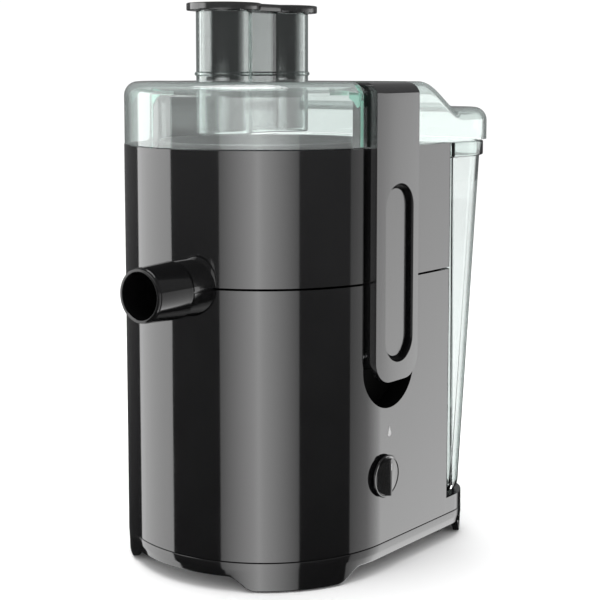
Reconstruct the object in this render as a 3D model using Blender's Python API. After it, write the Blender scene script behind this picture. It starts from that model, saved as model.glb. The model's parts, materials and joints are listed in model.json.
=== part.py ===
"""Centrifugal juicer, built as separate pieces.

Frame: metres, +Z up, origin on the floor under the middle of the whole object.
-Y is the front with the juice spout, +Y is the back with the pulp container,
and +X is the side with the control knob. Sizes below are in millimetres and MM turns
them into metres. Distances named "reach" are measured along Y from the spin axis.
"""

import math

import bmesh
import bpy

MM = 0.001
GAP = 0.3

# Driving dimensions, millimetres
AXIS_Y = -4.4
BODY_R = 82.5
BODY_REAR = 71.5
BODY_CORNER = 4.0
BASE_REAR = 103.0
BASE_CORNER = 26.0
WALL = 2.6

BASE_LOW = 8.5
BASE_TOP = 17.0
SKIRT_LOW = 0.8
LEDGE_TOP = 27.0
SEAM_MID = 166.4
SEAM_TOP = 240.4
DECK_Z = 146.0

BOWL_R = 65.5
BOWL_FLOOR = 152.0
HUB_HOLE_R = 9.0

SPOUT_X = 13.5
SPOUT_R = 14.15
SPOUT_BORE_R = 12.0
SPOUT_STEP = 94.0
SPOUT_COLLAR_R = 15.2
SPOUT_COLLAR = 93.4
SPOUT_TIP = 119.2

LID_TOP = 276.0
LID_REAR_TOP = 260.0
LID_REAR = 128.3
LID_CORNER = 26.0
LID_WALL = 2.6
SLOPE_START = 46.0
SLOPE_END = 84.0

CHUTE_X = -10.0
LOBE_REACH = 25.8
LOBE_R = 21.2
NECK_X = 13.3
CHUTE_INSET = 5.3
CHUTE_WALL = 2.0
CHUTE_BEAD = 280.2
CHUTE_TOP = 315.5
CHUTE_LOW = 246.0
PUSHER_FLANGE = 315.8
PUSHER_TOP = 320.0

CONTAINER_FRONT = 73.5
CONTAINER_REAR = 127.3
CONTAINER_FOOT = 102.0
CONTAINER_HALF = 80.0
CONTAINER_LOW = 28.0
CONTAINER_TOP = 239.8

LATCH_REACH = 8.0
LATCH_WIDE = 40.6
LATCH_OUT = 88.0
LATCH_TOP = 275.8
LATCH_BEND = 9.0
LATCH_CORNER = 13.0
HOOK_LEDGE = 271.5
CHANNEL_WIDE = 47.0
CHANNEL_X = 69.6
CHANNEL_LOW = 94.0
LATCH_LOW = 110.5
PIVOT_X = 78.0
PIVOT_Z = 126.0
PIVOT_R = 7.8
PIN_R = 2.0

SLOT_SHIFT = 1.3
SLOT_Z = 170.6
SLOT_WIDE = 26.6
SLOT_LONG = 99.6
SLOT_DEEP = 5.6
PAD_SUNK = 3.4

KNOB_REACH = 2.8
KNOB_Z = 56.0
KNOB_R = 12.1
NECK_R = 6.4
COLLAR_R = 8.4

ARC_STEPS = 40
CORNER_STEPS = 6
ROUND_STEPS = 28
LOBE_STEPS = 15
NECK_STEPS = 4

# Colours, roughness and metallic value of each kind of material
LOOKS = {
    "gloss_black": ((0.020, 0.020, 0.021), 0.14, 0.0),
    "matte_black": ((0.030, 0.030, 0.031), 0.5, 0.0),
    "clear_green": ((0.78, 0.93, 0.88), 0.05, 0.0),
    "rubber": ((0.025, 0.025, 0.026), 0.8, 0.0),
    "steel": ((0.62, 0.62, 0.63), 0.28, 1.0),
    "laminations": ((0.33, 0.34, 0.36), 0.45, 1.0),
    "copper": ((0.72, 0.36, 0.19), 0.35, 1.0),
    "brass": ((0.75, 0.58, 0.26), 0.3, 1.0),
    "grey_plastic": ((0.12, 0.12, 0.125), 0.4, 0.0),
}


def material(name):
    """One Principled material for each kind in LOOKS, made on first use."""
    found = bpy.data.materials.get(name)
    if found:
        return found
    made = bpy.data.materials.new(name)
    made.use_nodes = True
    colour, rough, metal = LOOKS[name]
    shader = made.node_tree.nodes["Principled BSDF"]
    shader.inputs["Base Color"].default_value = (*colour, 1.0)
    shader.inputs["Roughness"].default_value = rough
    shader.inputs["Metallic"].default_value = metal
    return made


def y_at(reach):
    """World Y in millimetres of a distance behind the spin axis."""
    return AXIS_Y + reach


def arc(cx, cy, radius, start, stop, steps):
    """Points of an arc, both ends included, in degrees."""
    points = []
    for i in range(steps + 1):
        angle = math.radians(start + (stop - start) * i / steps)
        points.append((cx + radius * math.cos(angle), cy + radius * math.sin(angle)))
    return points


def d_outline(inset, rear, corner):
    """Plan of the body: a round front, flat sides and a square back, anticlockwise."""
    half = BODY_R - inset
    back = y_at(rear - inset)
    bend = max(corner - inset, 0.8)
    points = arc(0.0, AXIS_Y, half, 180.0, 360.0, ARC_STEPS)
    points += arc(half - bend, back - bend, bend, 0.0, 90.0, CORNER_STEPS)
    points += arc(bend - half, back - bend, bend, 90.0, 180.0, CORNER_STEPS)
    return points


def stadium(cx, cy, wide, long, steps=10):
    """A slot with round ends, its long side along the second axis."""
    r = wide / 2.0
    rise = long / 2.0 - r
    points = arc(cx, cy + rise, r, 0.0, 180.0, steps)
    return points + arc(cx, cy - rise, r, 180.0, 360.0, steps)


def spaced(points, gap):
    """The same closed outline with extra points on its long straight sides."""
    dense = []
    for a, b in zip(points, points[1:] + points[:1]):
        count = max(1, math.ceil(math.dist(a, b) / gap))
        dense += [(a[0] + (b[0] - a[0]) * i / count, a[1] + (b[1] - a[1]) * i / count) for i in range(count)]
    return dense


def bean(inset):
    """Plan of the pusher's flange and of the chute: two round lobes with a neck that is hollow towards +X."""
    lobe = LOBE_R - inset
    neck = NECK_X - inset
    bend = max(1.5, inset - 2.3)
    turn = math.degrees(math.acos((neck + bend) / (lobe + bend)))
    lift = (lobe + bend) * math.sin(math.radians(turn))
    front = y_at(-LOBE_REACH)
    rear = y_at(LOBE_REACH)
    points = arc(CHUTE_X, rear, lobe, -turn, 180.0, LOBE_STEPS)
    points += arc(CHUTE_X, front, lobe, 180.0, 360.0 + turn, LOBE_STEPS)[:-1]
    points += arc(CHUTE_X + neck + bend, front + lift, bend, 180.0 + turn, 180.0, NECK_STEPS)
    points += arc(CHUTE_X + neck + bend, rear - lift, bend, 180.0, 180.0 - turn, NECK_STEPS)[:-1]
    return points


def finish(name, mesh, look):
    obj = bpy.data.objects.new(name, mesh)
    bpy.context.scene.collection.objects.link(obj)
    if look:
        mesh.materials.append(material(look))
    mesh.shade_smooth()
    mesh.set_sharp_from_angle(angle=math.radians(35.0))
    return obj


def loft(name, rings, look=None):
    """A closed solid through rings of equal length, lowest first, capped at both ends."""
    bm = bmesh.new()
    rows = [[bm.verts.new([c * MM for c in p]) for p in ring] for ring in rings]
    count = len(rows[0])
    for low, high in zip(rows, rows[1:]):
        for i in range(count):
            j = (i + 1) % count
            bm.faces.new((low[i], low[j], high[j], high[i]))
    bm.faces.new(rows[0][::-1])
    bm.faces.new(rows[-1])
    bmesh.ops.recalc_face_normals(bm, faces=bm.faces)
    mesh = bpy.data.meshes.new(name)
    bm.to_mesh(mesh)
    bm.free()
    return finish(name, mesh, look)


def prism(name, outline, low, high, look=None, axis="Z"):
    """An outline extruded along an axis, given as pairs of the two other coordinates."""
    place = {
        "Z": lambda p, h: (p[0], p[1], h),
        "X": lambda p, h: (h, p[0], p[1]),
        "Y": lambda p, h: (p[0], h, p[1]),
    }[axis]
    rings = [[place(p, h) for p in outline] for h in (low, high)]
    return loft(name, rings, look)


def turned(name, profile, centre, look=None, axis="Z", steps=ROUND_STEPS):
    """A turned solid or ring: profile of (radius, height) pairs, closed if radius stays above 0."""
    bm = bmesh.new()
    rows = []
    for radius, height in profile:
        row = []
        for i in range(steps):
            angle = 2.0 * math.pi * i / steps
            u = radius * math.cos(angle)
            v = radius * math.sin(angle)
            point = {"Z": (u, v, height), "X": (height, u, v), "Y": (v, height, u)}[axis]
            row.append(bm.verts.new([(a + b) * MM for a, b in zip(point, centre)]))
            if radius == 0.0:
                row = row * steps
                break
        rows.append(row)
    ring = profile[0][0] > 0.0 and profile[-1][0] > 0.0
    pairs = list(zip(rows, rows[1:])) + ([(rows[-1], rows[0])] if ring else [])
    for low, high in pairs:
        for i in range(steps):
            j = (i + 1) % steps
            corners = list(dict.fromkeys((low[i], low[j], high[j], high[i])))
            if len(corners) > 2:
                bm.faces.new(corners)
    bmesh.ops.recalc_face_normals(bm, faces=bm.faces)
    mesh = bpy.data.meshes.new(name)
    bm.to_mesh(mesh)
    bm.free()
    return finish(name, mesh, look)


def tube(name, outer, inner, low, high, centre, look=None, axis="Z", steps=ROUND_STEPS):
    profile = [(inner, low), (outer, low), (outer, high), (inner, high)]
    return turned(name, profile, centre, look, axis, steps)


def rod(name, radius, low, high, centre, look=None, axis="Z", steps=24):
    profile = [(0.0, low), (radius, low), (radius, high), (0.0, high)]
    return turned(name, profile, centre, look, axis, steps)


def weld(mesh):
    """Removes the zero-length edges that a Boolean can leave."""
    bm = bmesh.new()
    bm.from_mesh(mesh)
    bmesh.ops.remove_doubles(bm, verts=bm.verts, dist=0.01 * MM)
    bmesh.ops.dissolve_degenerate(bm, edges=bm.edges, dist=0.01 * MM)
    bm.to_mesh(mesh)
    bm.free()


def combine(target, tools, operation):
    """Applies exact Booleans to the target and removes the tools."""
    for tool in tools:
        cut = target.modifiers.new(operation, "BOOLEAN")
        cut.operation = operation
        cut.solver = "EXACT"
        cut.object = tool
        bpy.context.view_layer.update()
        graph = bpy.context.evaluated_depsgraph_get()
        mesh = bpy.data.meshes.new_from_object(target.evaluated_get(graph))
        weld(mesh)
        target.modifiers.remove(cut)
        old = target.data
        target.data = mesh
        bpy.data.meshes.remove(old)
        bpy.data.objects.remove(tool)
    target.data.set_sharp_from_angle(angle=math.radians(35.0))
    return target


def smooth_step(value, low, high):
    t = min(max((value - low) / (high - low), 0.0), 1.0)
    return t * t * (3.0 - 2.0 * t)


def skirt_height(x, y):
    """Lower edge of the base wall: it drops to the floor at four feet."""
    angle = math.degrees(math.atan2(abs(x), AXIS_Y - y))
    front = smooth_step(angle, 24.0, 34.5) * (1.0 - smooth_step(angle, 68.0, 79.0))
    past = y - y_at(BASE_REAR - BASE_CORNER)
    rear = smooth_step(past, 7.0, 12.0) * smooth_step(abs(x), 40.0, 54.0)
    return BASE_LOW - (BASE_LOW - SKIRT_LOW) * max(front, rear)


def shrunk(points, inset):
    """The base outline moved inwards, point by point, towards its middle line."""
    moved = []
    for x, y in points:
        if y <= AXIS_Y:
            scale = 1.0 - inset / BODY_R
            moved.append((x * scale, AXIS_Y + (y - AXIS_Y) * scale))
            continue
        bend_y = y_at(BASE_REAR - BASE_CORNER)
        bend_x = BODY_R - BASE_CORNER
        if y > bend_y and abs(x) > bend_x:
            scale = 1.0 - inset / BASE_CORNER
            side = math.copysign(bend_x, x)
            moved.append((side + (x - side) * scale, bend_y + (y - bend_y) * scale))
        elif y > bend_y:
            moved.append((x, y - inset))
        else:
            moved.append((x - math.copysign(inset, x), y))
    return moved


def base_cover():
    """Base tray: a wall whose lower edge dips into four foot skirts, closed by a floor."""
    wall = 3.0
    outer = spaced(d_outline(0.0, BASE_REAR, BASE_CORNER), 8.0)
    under = shrunk(outer, 1.6)
    inner = shrunk(outer, 1.6 + wall)
    upper = shrunk(outer, wall)
    edge = [skirt_height(x, y) for x, y in outer]
    rings = [
        [(x, y, 10.2) for x, y in inner],
        [(x, y, z) for (x, y), z in zip(inner, edge)],
        [(x, y, z) for (x, y), z in zip(under, edge)],
        [(x, y, 13.0) for x, y in outer],
        [(x, y, BASE_TOP) for x, y in outer],
        [(x, y, BASE_TOP) for x, y in upper],
        [(x, y, 12.8) for x, y in upper],
    ]
    tray = loft("base_cover", rings, "gloss_black")
    holes = [rod("cut", 1.9, 5.0, 15.0, (x, y, 0.0), steps=12) for x, y in screw_places()]
    holes.append(rod("cut", 5.3, 5.0, 15.0, (*CORD_PLACE, 0.0), steps=20))
    return combine(tray, holes, "DIFFERENCE")


CORD_PLACE = (0.0, y_at(BASE_REAR - 16.0))


def screw_places():
    return [(sx * 55.0, y_at(reach)) for sx in (-1, 1) for reach in (-20.0, 60.0)]


def foot_places():
    places = []
    for sx in (-1, 1):
        angle = math.radians(51.0)
        reach = BODY_R - 15.0
        places.append((sx * reach * math.sin(angle), AXIS_Y - reach * math.cos(angle)))
    for sx in (-1, 1):
        places.append((sx * (BODY_R - 20.0), y_at(BASE_REAR - 20.0)))
    return places


def feet_and_screws():
    for i, (x, y) in enumerate(foot_places(), 1):
        profile = [(0.0, 0.0), (6.0, 0.0), (7.0, 1.0), (7.0, 9.9), (0.0, 9.9)]
        turned(f"rubber_foot_{i}", profile, (x, y, 0.0), "rubber", steps=16)
    for i, (x, y) in enumerate(screw_places(), 1):
        profile = [(0.0, 7.6), (3.4, 7.6), (3.4, 9.9), (1.5, 9.9), (1.5, 24.5), (0.0, 24.5)]
        turned(f"base_screw_{i}", profile, (x, y, 0.0), "steel", steps=10)
    profile = [(3.2, 8.6), (7.0, 8.6), (7.0, 9.9), (5.0, 9.9), (5.0, 16.0), (3.2, 16.0)]
    turned("cord_bushing", profile, (*CORD_PLACE, 0.0), "rubber", steps=16)


def channel_outline(wide, low):
    """Plan of the latch channel in the side wall: open at the top, round at the bottom."""
    half = wide / 2.0
    points = arc(y_at(LATCH_REACH), low + half, half, 180.0, 360.0, 16)
    return points + [(y_at(LATCH_REACH) + half, 260.0), (y_at(LATCH_REACH) - half, 260.0)]


def channel_cut(side, spread, low=CHANNEL_LOW):
    """The space of one latch channel, or of its walls when spread is above 0."""
    outline = channel_outline(CHANNEL_WIDE + 2.0 * spread, low - spread)
    inner = side * (CHANNEL_X - spread)
    return prism("cut", outline, min(inner, side * 100.0), max(inner, side * 100.0), axis="X")


def motor_housing():
    """Lower housing: outer wall, rear ledge, deck over the motor and two latch channels."""
    low = BASE_TOP + GAP + 0.2
    high = SEAM_MID - GAP
    shell = prism("motor_housing", d_outline(0.0, BODY_REAR, BODY_CORNER), low, high, "gloss_black")
    ledge = prism("ledge", d_outline(0.05, BASE_REAR, BASE_CORNER), low, LEDGE_TOP)
    combine(shell, [ledge], "UNION")
    cavity = prism("cut", d_outline(WALL, BODY_REAR, BODY_CORNER), low - 5.0, DECK_Z - WALL)
    under = prism("cut2", d_outline(WALL, BASE_REAR, BASE_CORNER), low - 5.0, LEDGE_TOP - WALL)
    combine(cavity, [under], "UNION")
    combine(cavity, [channel_cut(side, WALL) for side in (-1, 1)], "DIFFERENCE")
    well = prism("cut", d_outline(WALL, BODY_REAR, BODY_CORNER), DECK_Z, high + 5.0)
    combine(well, [channel_cut(side, WALL) for side in (-1, 1)], "DIFFERENCE")
    cuts = [cavity, well]
    cuts += [channel_cut(side, 0.0) for side in (-1, 1)]
    cuts.append(rod("cut", 17.0, DECK_Z - 10.0, DECK_Z + 10.0, (0.0, AXIS_Y, 0.0), steps=32))
    cuts.append(rod("cut", SPOUT_COLLAR_R + 0.5, y_at(-100.0), y_at(-70.0), (SPOUT_X, 0.0, SEAM_MID), axis="Y",
                    steps=32))
    for side in (-1, 1):
        cuts.append(pin_rod("cut", side, PIN_R + 0.25, 0.4))
    cuts.append(rod("cut", 5.4, 60.0, 100.0, (0.0, y_at(KNOB_REACH), KNOB_Z), axis="X"))
    return combine(shell, cuts, "DIFFERENCE")


def pin_rod(name, side, radius, extra, look=None):
    half = CHANNEL_WIDE / 2.0 + 2.3 + extra
    centre = (side * PIVOT_X, y_at(LATCH_REACH), PIVOT_Z)
    return rod(name, radius, -half, half, centre, look, axis="Y", steps=20)


def juice_collector():
    """Upper housing: outer wall with a round bowl in it and the outlet of the spout."""
    low = SEAM_MID + GAP
    high = SEAM_TOP - GAP
    shell = prism("juice_collector", d_outline(0.0, BODY_REAR, BODY_CORNER), low, high, "gloss_black")
    hollow = prism("cut", d_outline(WALL, BODY_REAR, BODY_CORNER), low - 5.0, high - WALL)
    combine(hollow, [channel_cut(side, WALL) for side in (-1, 1)], "DIFFERENCE")
    combine(shell, [hollow] + [channel_cut(side, 0.0) for side in (-1, 1)], "DIFFERENCE")
    outer = BOWL_R + WALL
    waist = BOWL_R - 2.2
    axis = (0.0, AXIS_Y, 0.0)
    bowl = turned(
        "bowl",
        [(0.0, BOWL_FLOOR - WALL), (waist, BOWL_FLOOR - WALL), (waist + WALL, BOWL_FLOOR),
         (waist + WALL, low), (outer, low + 3.0), (outer, high - 1.0), (0.0, high - 1.0)],
        axis,
    )
    outlet = turned(
        "outlet",
        [(0.0, -SPOUT_STEP - 7.5), (SPOUT_R, -SPOUT_STEP - 7.5), (SPOUT_R, -SPOUT_COLLAR),
         (SPOUT_COLLAR_R, -SPOUT_COLLAR), (SPOUT_COLLAR_R, -50.0), (0.0, -50.0)],
        (SPOUT_X, AXIS_Y, SEAM_MID),
        axis="Y",
        steps=32,
    )
    combine(shell, [bowl, outlet], "UNION")
    room = turned(
        "cut",
        [(0.0, 176.0), (15.0, 176.0), (19.0, BOWL_FLOOR + 3.0), (24.0, BOWL_FLOOR),
         (waist - 4.0, BOWL_FLOOR), (waist, BOWL_FLOOR + 5.0), (waist, low), (BOWL_R, low + 3.0),
         (BOWL_R, 300.0), (0.0, 300.0)],
        axis,
    )
    bore = rod("cut", SPOUT_BORE_R, y_at(-130.0), y_at(-56.0), (SPOUT_X, 0.0, SEAM_MID), axis="Y", steps=32)
    spine = rod("cut", HUB_HOLE_R, 140.0, 200.0, axis)
    skirt = rod("cut", 11.5, 140.0, 172.0, axis)
    return combine(shell, [room, bore, spine, skirt], "DIFFERENCE")


def spout_nozzle():
    """Sleeve pushed over the collector's outlet."""
    step = -SPOUT_STEP - GAP
    tip = -SPOUT_TIP
    socket = step - 8.0
    profile = [
        (SPOUT_R + 0.3, step), (15.2, step), (15.7, step - 0.8), (15.7, step - 2.5), (14.6, tip + 0.7),
        (14.1, tip), (12.9, tip), (12.4, tip + 0.7), (12.4, socket), (SPOUT_R + 0.3, socket),
    ]
    return turned("spout_nozzle", profile, (SPOUT_X, AXIS_Y, SEAM_MID), "gloss_black", axis="Y")


def lid_height(reach, drop):
    fall = smooth_step(reach, SLOPE_START, SLOPE_END)
    return LID_TOP - drop - (LID_TOP - LID_REAR_TOP) * fall


def slope_cut(drop):
    """The space over the lid: its underside follows the lid's fall to the back."""
    steps = 10
    points = [(y_at(SLOPE_START), lid_height(SLOPE_START, drop))]
    for i in range(1, steps + 1):
        reach = SLOPE_START + (SLOPE_END - SLOPE_START) * i / steps
        points.append((y_at(reach), lid_height(reach, drop)))
    points += [(y_at(150.0), LID_REAR_TOP - drop), (y_at(150.0), 320.0), (y_at(SLOPE_START), 320.0)]
    return prism("cut", points, -120.0, 120.0, axis="X")


def lid_rings(inset, drop, fillet, low):
    """Rings of the lid's solid, with a rounded upper edge."""
    top = LID_TOP - drop
    rings = [[(x, y, low) for x, y in d_outline(inset, LID_REAR, LID_CORNER)]]
    for i in range(5):
        angle = math.radians(90.0 * i / 4)
        extra = fillet * (1.0 - math.cos(angle))
        z = top - fillet + fillet * math.sin(angle)
        rings.append([(x, y, z) for x, y in d_outline(inset + extra, LID_REAR, LID_CORNER)])
    return rings


def clear_lid():
    """Clear lid: a dome over the bowl, a lower extension over the container and the feed chute."""
    low = SEAM_TOP + GAP
    lid = loft("clear_lid", lid_rings(0.3, 0.0, 8.0, low), "clear_green")
    cavity = loft("cut", lid_rings(0.3 + LID_WALL, LID_WALL, 5.6, low - 5.0))
    combine(lid, [slope_cut(0.0)], "DIFFERENCE")
    combine(cavity, [slope_cut(LID_WALL)], "DIFFERENCE")
    for side in (-1, 1):
        combine(cavity, [lid_channel(side, LID_WALL), hook_notch(side, LID_WALL)], "DIFFERENCE")
    combine(lid, [cavity], "DIFFERENCE")
    for side in (-1, 1):
        combine(lid, [lid_channel(side, 0.0), hook_notch(side, 0.0)], "DIFFERENCE")
    layers = [
        (CHUTE_INSET, CHUTE_LOW), (CHUTE_INSET, CHUTE_BEAD - 1.2), (CHUTE_INSET - 0.9, CHUTE_BEAD - 0.6),
        (CHUTE_INSET - 0.9, CHUTE_BEAD + 0.6), (CHUTE_INSET, CHUTE_BEAD + 1.2), (CHUTE_INSET, CHUTE_TOP),
    ]
    chute = loft("chute", [[(x, y, z) for x, y in bean(inset)] for inset, z in layers])
    combine(lid, [chute], "UNION")
    hole = prism("cut", bean(CHUTE_INSET + CHUTE_WALL), CHUTE_LOW - 5.0, CHUTE_TOP + 5.0)
    return combine(lid, [hole], "DIFFERENCE")


def side_box(side, inner, half, low, high):
    """A block over one latch channel, from the given X outwards."""
    centre = y_at(LATCH_REACH)
    outline = [(centre - half, low), (centre + half, low), (centre + half, high), (centre - half, high)]
    ends = sorted((side * inner, side * 100.0))
    return prism("cut", outline, ends[0], ends[1], axis="X")


def lid_channel(side, spread):
    """The latch channel carried on up through the lid."""
    return side_box(side, CHANNEL_X - spread, CHANNEL_WIDE / 2.0 + spread, 225.0, 330.0)


def hook_notch(side, spread):
    """Recess in the lid's upper edge that takes the latch hook."""
    return side_box(side, 61.0 - spread, CHANNEL_WIDE / 2.0 - 1.0 + spread, HOOK_LEDGE - spread, 330.0)


def food_pusher():
    """Hollow pusher that slides in the chute; its flange rests on the chute's rim."""
    side = CHUTE_INSET + CHUTE_WALL + 0.7
    layers = [
        (side + 1.2, 248.0), (side, 249.2), (side, PUSHER_FLANGE), (0.5, PUSHER_FLANGE),
        (0.0, PUSHER_FLANGE + 0.5), (0.0, PUSHER_TOP - 0.5), (0.5, PUSHER_TOP), (side + 1.8, PUSHER_TOP),
        (side + 2.2, PUSHER_TOP - 0.8), (side + 2.2, 251.0),
    ]
    rings = [[(x, y, z) for x, y in bean(inset)] for inset, z in layers]
    return loft("food_pusher", rings, "gloss_black")


def container_plan(inset, reach_rear):
    front = y_at(CONTAINER_FRONT) + inset
    rear = y_at(reach_rear) - inset
    half = CONTAINER_HALF - inset
    bend = 25.0 - inset
    small = max(5.0 - inset, 1.5)
    points = arc(half - bend, rear - bend, bend, 0.0, 90.0, 8)
    points += arc(bend - half, rear - bend, bend, 90.0, 180.0, 8)
    points += arc(small - half, front + small, small, 180.0, 270.0, 4)
    points += arc(half - small, front + small, small, 270.0, 360.0, 4)
    return points


def pulp_container():
    """Clear container: it widens to the back as it rises and has a thick rim band."""
    band = 231.0
    rear_band = CONTAINER_REAR - 1.5
    wall = 2.2
    layers = [
        (2.0, CONTAINER_FOOT, CONTAINER_LOW), (0.0, CONTAINER_FOOT + 0.3, CONTAINER_LOW + 2.0),
        (1.5, rear_band, band), (0.0, CONTAINER_REAR, band + 1.0), (0.0, CONTAINER_REAR, CONTAINER_TOP),
        (wall + 1.4, CONTAINER_REAR, CONTAINER_TOP), (wall + 1.4, rear_band, band),
        (wall + 0.2, CONTAINER_FOOT + 0.3, CONTAINER_LOW + wall + 2.0),
        (wall + 3.0, CONTAINER_FOOT, CONTAINER_LOW + wall + 0.2),
    ]
    rings = [[(x, y, z) for x, y in container_plan(inset, rear)] for inset, rear, z in layers]
    return loft("pulp_container", rings, "clear_green")


def latch_profile():
    """Side view of a latch arm in X and Z: a boss on the pivot, a straight back and a hooked top."""
    bend = LATCH_BEND
    back = PIVOT_X - PIVOT_R
    lip = PIVOT_X + 5.5
    hook = HOOK_LEDGE + 0.5
    points = arc(PIVOT_X, PIVOT_Z, PIVOT_R, 180.0, 315.0, 10)
    points += [(lip, LATCH_LOW + 6.0), (lip, LATCH_LOW), (LATCH_OUT - 2.0, LATCH_LOW),
               (LATCH_OUT, LATCH_LOW + 2.0)]
    points += arc(LATCH_OUT - bend, LATCH_TOP - bend, bend, 0.0, 90.0, 8)
    points += [(65.0, LATCH_TOP), (64.5, LATCH_TOP - 0.5), (64.5, hook + 0.5), (65.0, hook), (back, hook)]
    return points


def latch(side, label):
    """Latch arm with a sunk slot for its pad, the pad, and the pin that it turns on."""
    centre = y_at(LATCH_REACH)
    outline = [(side * x, z) for x, z in latch_profile()]
    half = LATCH_WIDE / 2.0
    ends = (centre - half - 1.0, centre + half + 1.0)
    arm = prism(f"latch_arm_{label}", outline, ends[0], ends[1], "gloss_black", axis="Y")
    bend = LATCH_CORNER
    face = arc(centre + half - bend, LATCH_LOW + bend, bend, 270.0, 360.0, 8)
    face += arc(centre + half - 2.0, LATCH_TOP - 2.0, 2.0, 0.0, 90.0, 3)
    face += arc(centre - half + 2.0, LATCH_TOP - 2.0, 2.0, 90.0, 180.0, 3)
    face += arc(centre - half + bend, LATCH_LOW + bend, bend, 180.0, 270.0, 8)
    low, high = sorted((side * 50.0, side * 100.0))
    combine(arm, [prism("face", face, low, high, axis="X")], "INTERSECT")
    slot = stadium(centre + SLOT_SHIFT, SLOT_Z, SLOT_WIDE, SLOT_LONG)
    low, high = sorted((side * (LATCH_OUT - SLOT_DEEP), side * 100.0))
    cuts = [prism("cut", slot, low, high, axis="X"), pin_rod("cut", side, PIN_R + 0.3, 5.0)]
    combine(arm, cuts, "DIFFERENCE")
    pad_slot = stadium(centre + SLOT_SHIFT, SLOT_Z, SLOT_WIDE - 5.0, SLOT_LONG - 5.0)
    low, high = sorted((side * (LATCH_OUT - SLOT_DEEP + GAP), side * (LATCH_OUT - PAD_SUNK)))
    prism(f"latch_pad_{label}", pad_slot, low, high, "grey_plastic", axis="X")
    pin_rod(f"latch_pin_{label}", side, PIN_R, 0.0, "steel")


def control_knob():
    """Round knob with a grip bar across its dished face, its collar and the rotary switch behind the wall."""
    centre = (0.0, y_at(KNOB_REACH), KNOB_Z)
    face = BODY_R
    tube("knob_bezel", COLLAR_R, NECK_R + 0.4, face + 0.3, face + 1.6, centre, "matte_black", axis="X")
    profile = [
        (0.0, 74.0), (2.6, 74.0), (2.6, face - WALL - 1.0), (4.6, face - WALL - 0.8), (4.6, face + 0.4),
        (NECK_R, face + 0.4), (NECK_R, face + 1.9), (KNOB_R - 0.9, face + 1.9), (KNOB_R, face + 2.6),
        (KNOB_R, face + 3.8), (KNOB_R - 0.8, face + 4.5), (KNOB_R - 1.6, face + 4.5),
        (KNOB_R - 2.3, face + 2.9), (0.0, face + 2.9),
    ]
    knob = turned("control_knob", profile, centre, "gloss_black", axis="X")
    y = y_at(KNOB_REACH)
    grip = stadium(y, KNOB_Z, 6.6, 2.0 * KNOB_R - 2.0)
    combine(knob, [prism("grip", grip, face + 2.4, face + 5.3, axis="X")], "UNION")
    box = [(y - 12.0, KNOB_Z - 11.0), (y + 12.0, KNOB_Z - 11.0), (y + 12.0, KNOB_Z + 11.0),
           (y - 12.0, KNOB_Z + 11.0)]
    switch = prism("rotary_switch", box, 56.0, face - WALL - 3.0, "grey_plastic", axis="X")
    combine(switch, [rod("cut", 3.0, 70.0, 90.0, centre, axis="X")], "DIFFERENCE")


def motor():
    """Universal motor on the spin axis: the turning pieces first, then the fixed ones."""
    axis = (0.0, AXIS_Y, 0.0)
    rod("motor_shaft", 4.0, 34.0, 181.0, axis, "steel")
    fan = prism("cooling_fan", fan_outline(), 44.0, 52.0, "grey_plastic")
    combine(fan, [rod("cut", 4.3, 40.0, 60.0, axis)], "DIFFERENCE")
    tube("commutator", 11.0, 4.3, 58.0, 74.0, axis, "copper", steps=24)
    tube("armature", 21.0, 4.3, 80.0, 122.0, axis, "laminations")
    stator = tube("stator_core", 36.0, 22.5, 82.0, 120.0, axis, "laminations")
    slots = [
        prism("cut", [(sx * 21.0, AXIS_Y - 9.0), (sx * 31.0, AXIS_Y - 9.0), (sx * 31.0, AXIS_Y + 9.0),
                      (sx * 21.0, AXIS_Y + 9.0)][::sx], 70.0, 130.0)
        for sx in (-1, 1)
    ]
    combine(stator, slots, "DIFFERENCE")
    for sx, label in ((-1, "left"), (1, "right")):
        coil = [(sx * 23.4, AXIS_Y - 8.4), (sx * 30.4, AXIS_Y - 8.4), (sx * 30.4, AXIS_Y + 8.4),
                (sx * 23.4, AXIS_Y + 8.4)][::sx]
        prism(f"field_coil_{label}", coil, 76.0, 126.0, "copper")
        brush = [(sx * 12.0, AXIS_Y - 4.0), (sx * 30.0, AXIS_Y - 4.0), (sx * 30.0, AXIS_Y + 4.0),
                 (sx * 12.0, AXIS_Y + 4.0)][::sx]
        prism(f"brush_holder_{label}", brush, 62.0, 70.0, "brass")
    for name, low in (("lower_bearing", 35.0), ("upper_bearing", 129.0)):
        tube(name, 11.0, 4.3, low, low + 7.0, axis, "steel", steps=32)
    bracket("lower_motor_bracket", 33.0, 43.0, (34.7, 48.0))
    bracket("upper_motor_bracket", 128.0, 137.0, (120.0, 136.3))
    for i, (x, y) in enumerate(post_places(), 1):
        rod(f"motor_post_{i}", 2.5, 43.3, 127.7, (x, y, 0.0), "steel", steps=12)
        profile = [(2.5, 137.3), (6.0, 137.3), (6.0, DECK_Z - WALL - 0.3), (2.5, DECK_Z - WALL - 0.3)]
        turned(f"motor_grommet_{i}", profile, (x, y, 0.0), "rubber", steps=10)
    tube("shaft_seal", 16.0, 4.3, 139.0, 142.9, axis, "rubber")
    profile = [(4.3, 145.0), (10.5, 145.0), (10.5, 150.0), (7.8, 151.0), (7.8, 180.0), (4.3, 180.0)]
    turned("drive_coupling", profile, axis, "grey_plastic")


def fan_outline(blades=9, hub=9.0, tip=26.0):
    """Plan of the fan: straight blades round a hub."""
    points = []
    for i in range(blades):
        turn = 2.0 * math.pi * i / blades
        for radius, across in ((hub, -1.1), (tip, -0.8), (tip, 0.8), (hub, 1.1)):
            points.append((radius * math.cos(turn) - across * math.sin(turn),
                           AXIS_Y + radius * math.sin(turn) + across * math.cos(turn)))
    return points


def post_places():
    return [(sx * 33.0, AXIS_Y + sy * 33.0) for sx in (-1, 1) for sy in (-1, 1)]


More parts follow.
